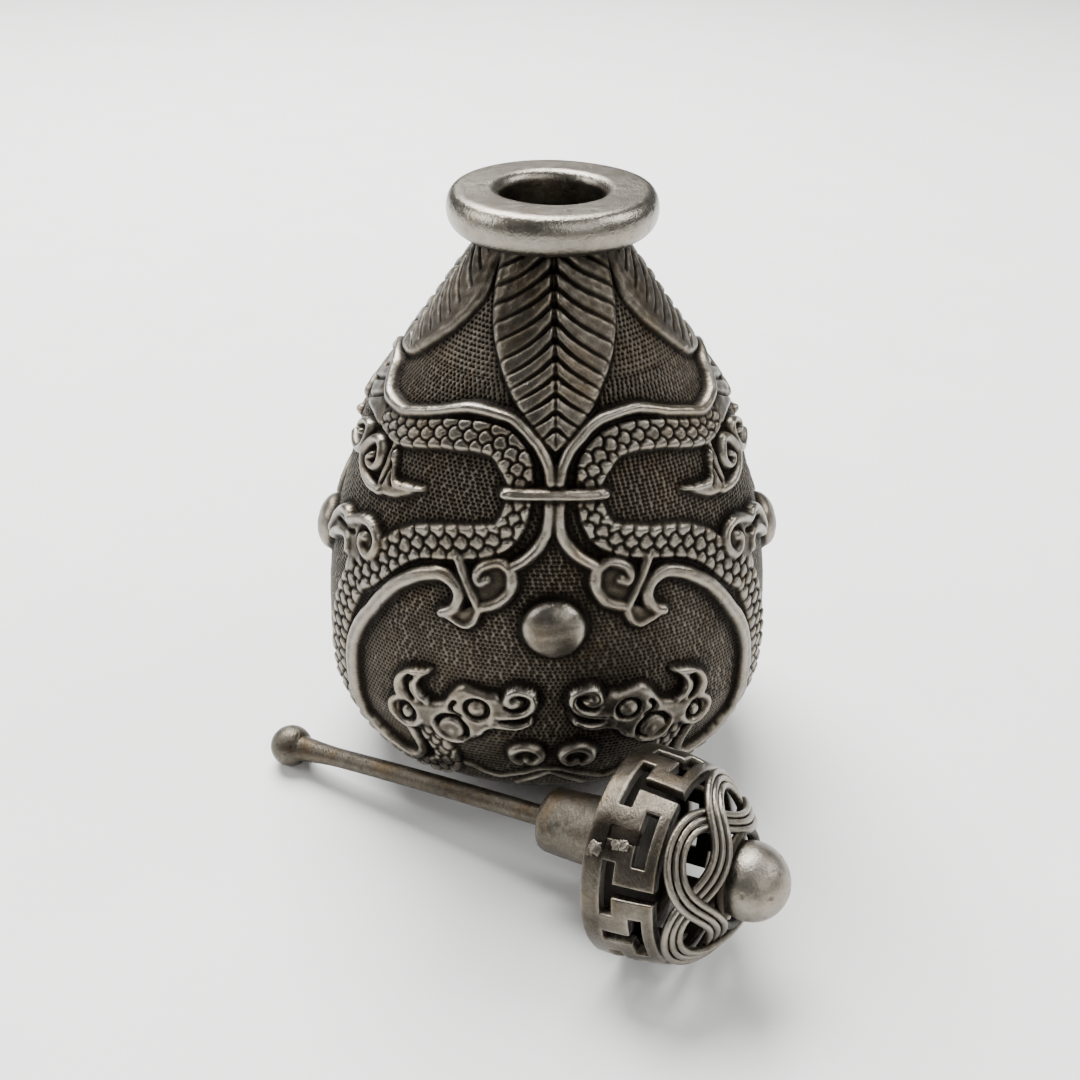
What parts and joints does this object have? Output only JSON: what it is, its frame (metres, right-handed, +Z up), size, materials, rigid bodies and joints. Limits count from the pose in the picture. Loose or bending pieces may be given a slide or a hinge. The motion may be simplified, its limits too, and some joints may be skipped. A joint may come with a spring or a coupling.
{
  "type": "snuff bottle",
  "caption": "Small hollow pear-shaped bottle with cast dragon relief and a thick collar, its spoon stopper with a pierced cap lying beside it.",
  "frame": {"origin": "middle of the flat underside of the bottle's foot", "axes": "+Z up through the mouth, -Y towards the front of the bottle, where the stopper lies, +X to the viewer's right"},
  "size_m": [0.0596, 0.068, 0.067],
  "materials": {
    "cast_body": "cast white copper alloy, dark in the recesses and worn bright on the relief",
    "worn_collar": "white copper alloy, handled smooth, with small pits",
    "wire_knot": "white copper alloy wire, dark between the wires",
    "dull_stem": "dull, slightly brown white copper alloy"
  },
  "bodies": {
    "root": {"bottle_body": "cast_body", "mouth_ring": "worn_collar", "stopper_fret_cap": "worn_collar", "stopper_knotwork": "wire_knot", "stopper_finial": "worn_collar", "stopper_plug": "dull_stem", "spoon_rod": "dull_stem"}
  },
  "joints": []
}
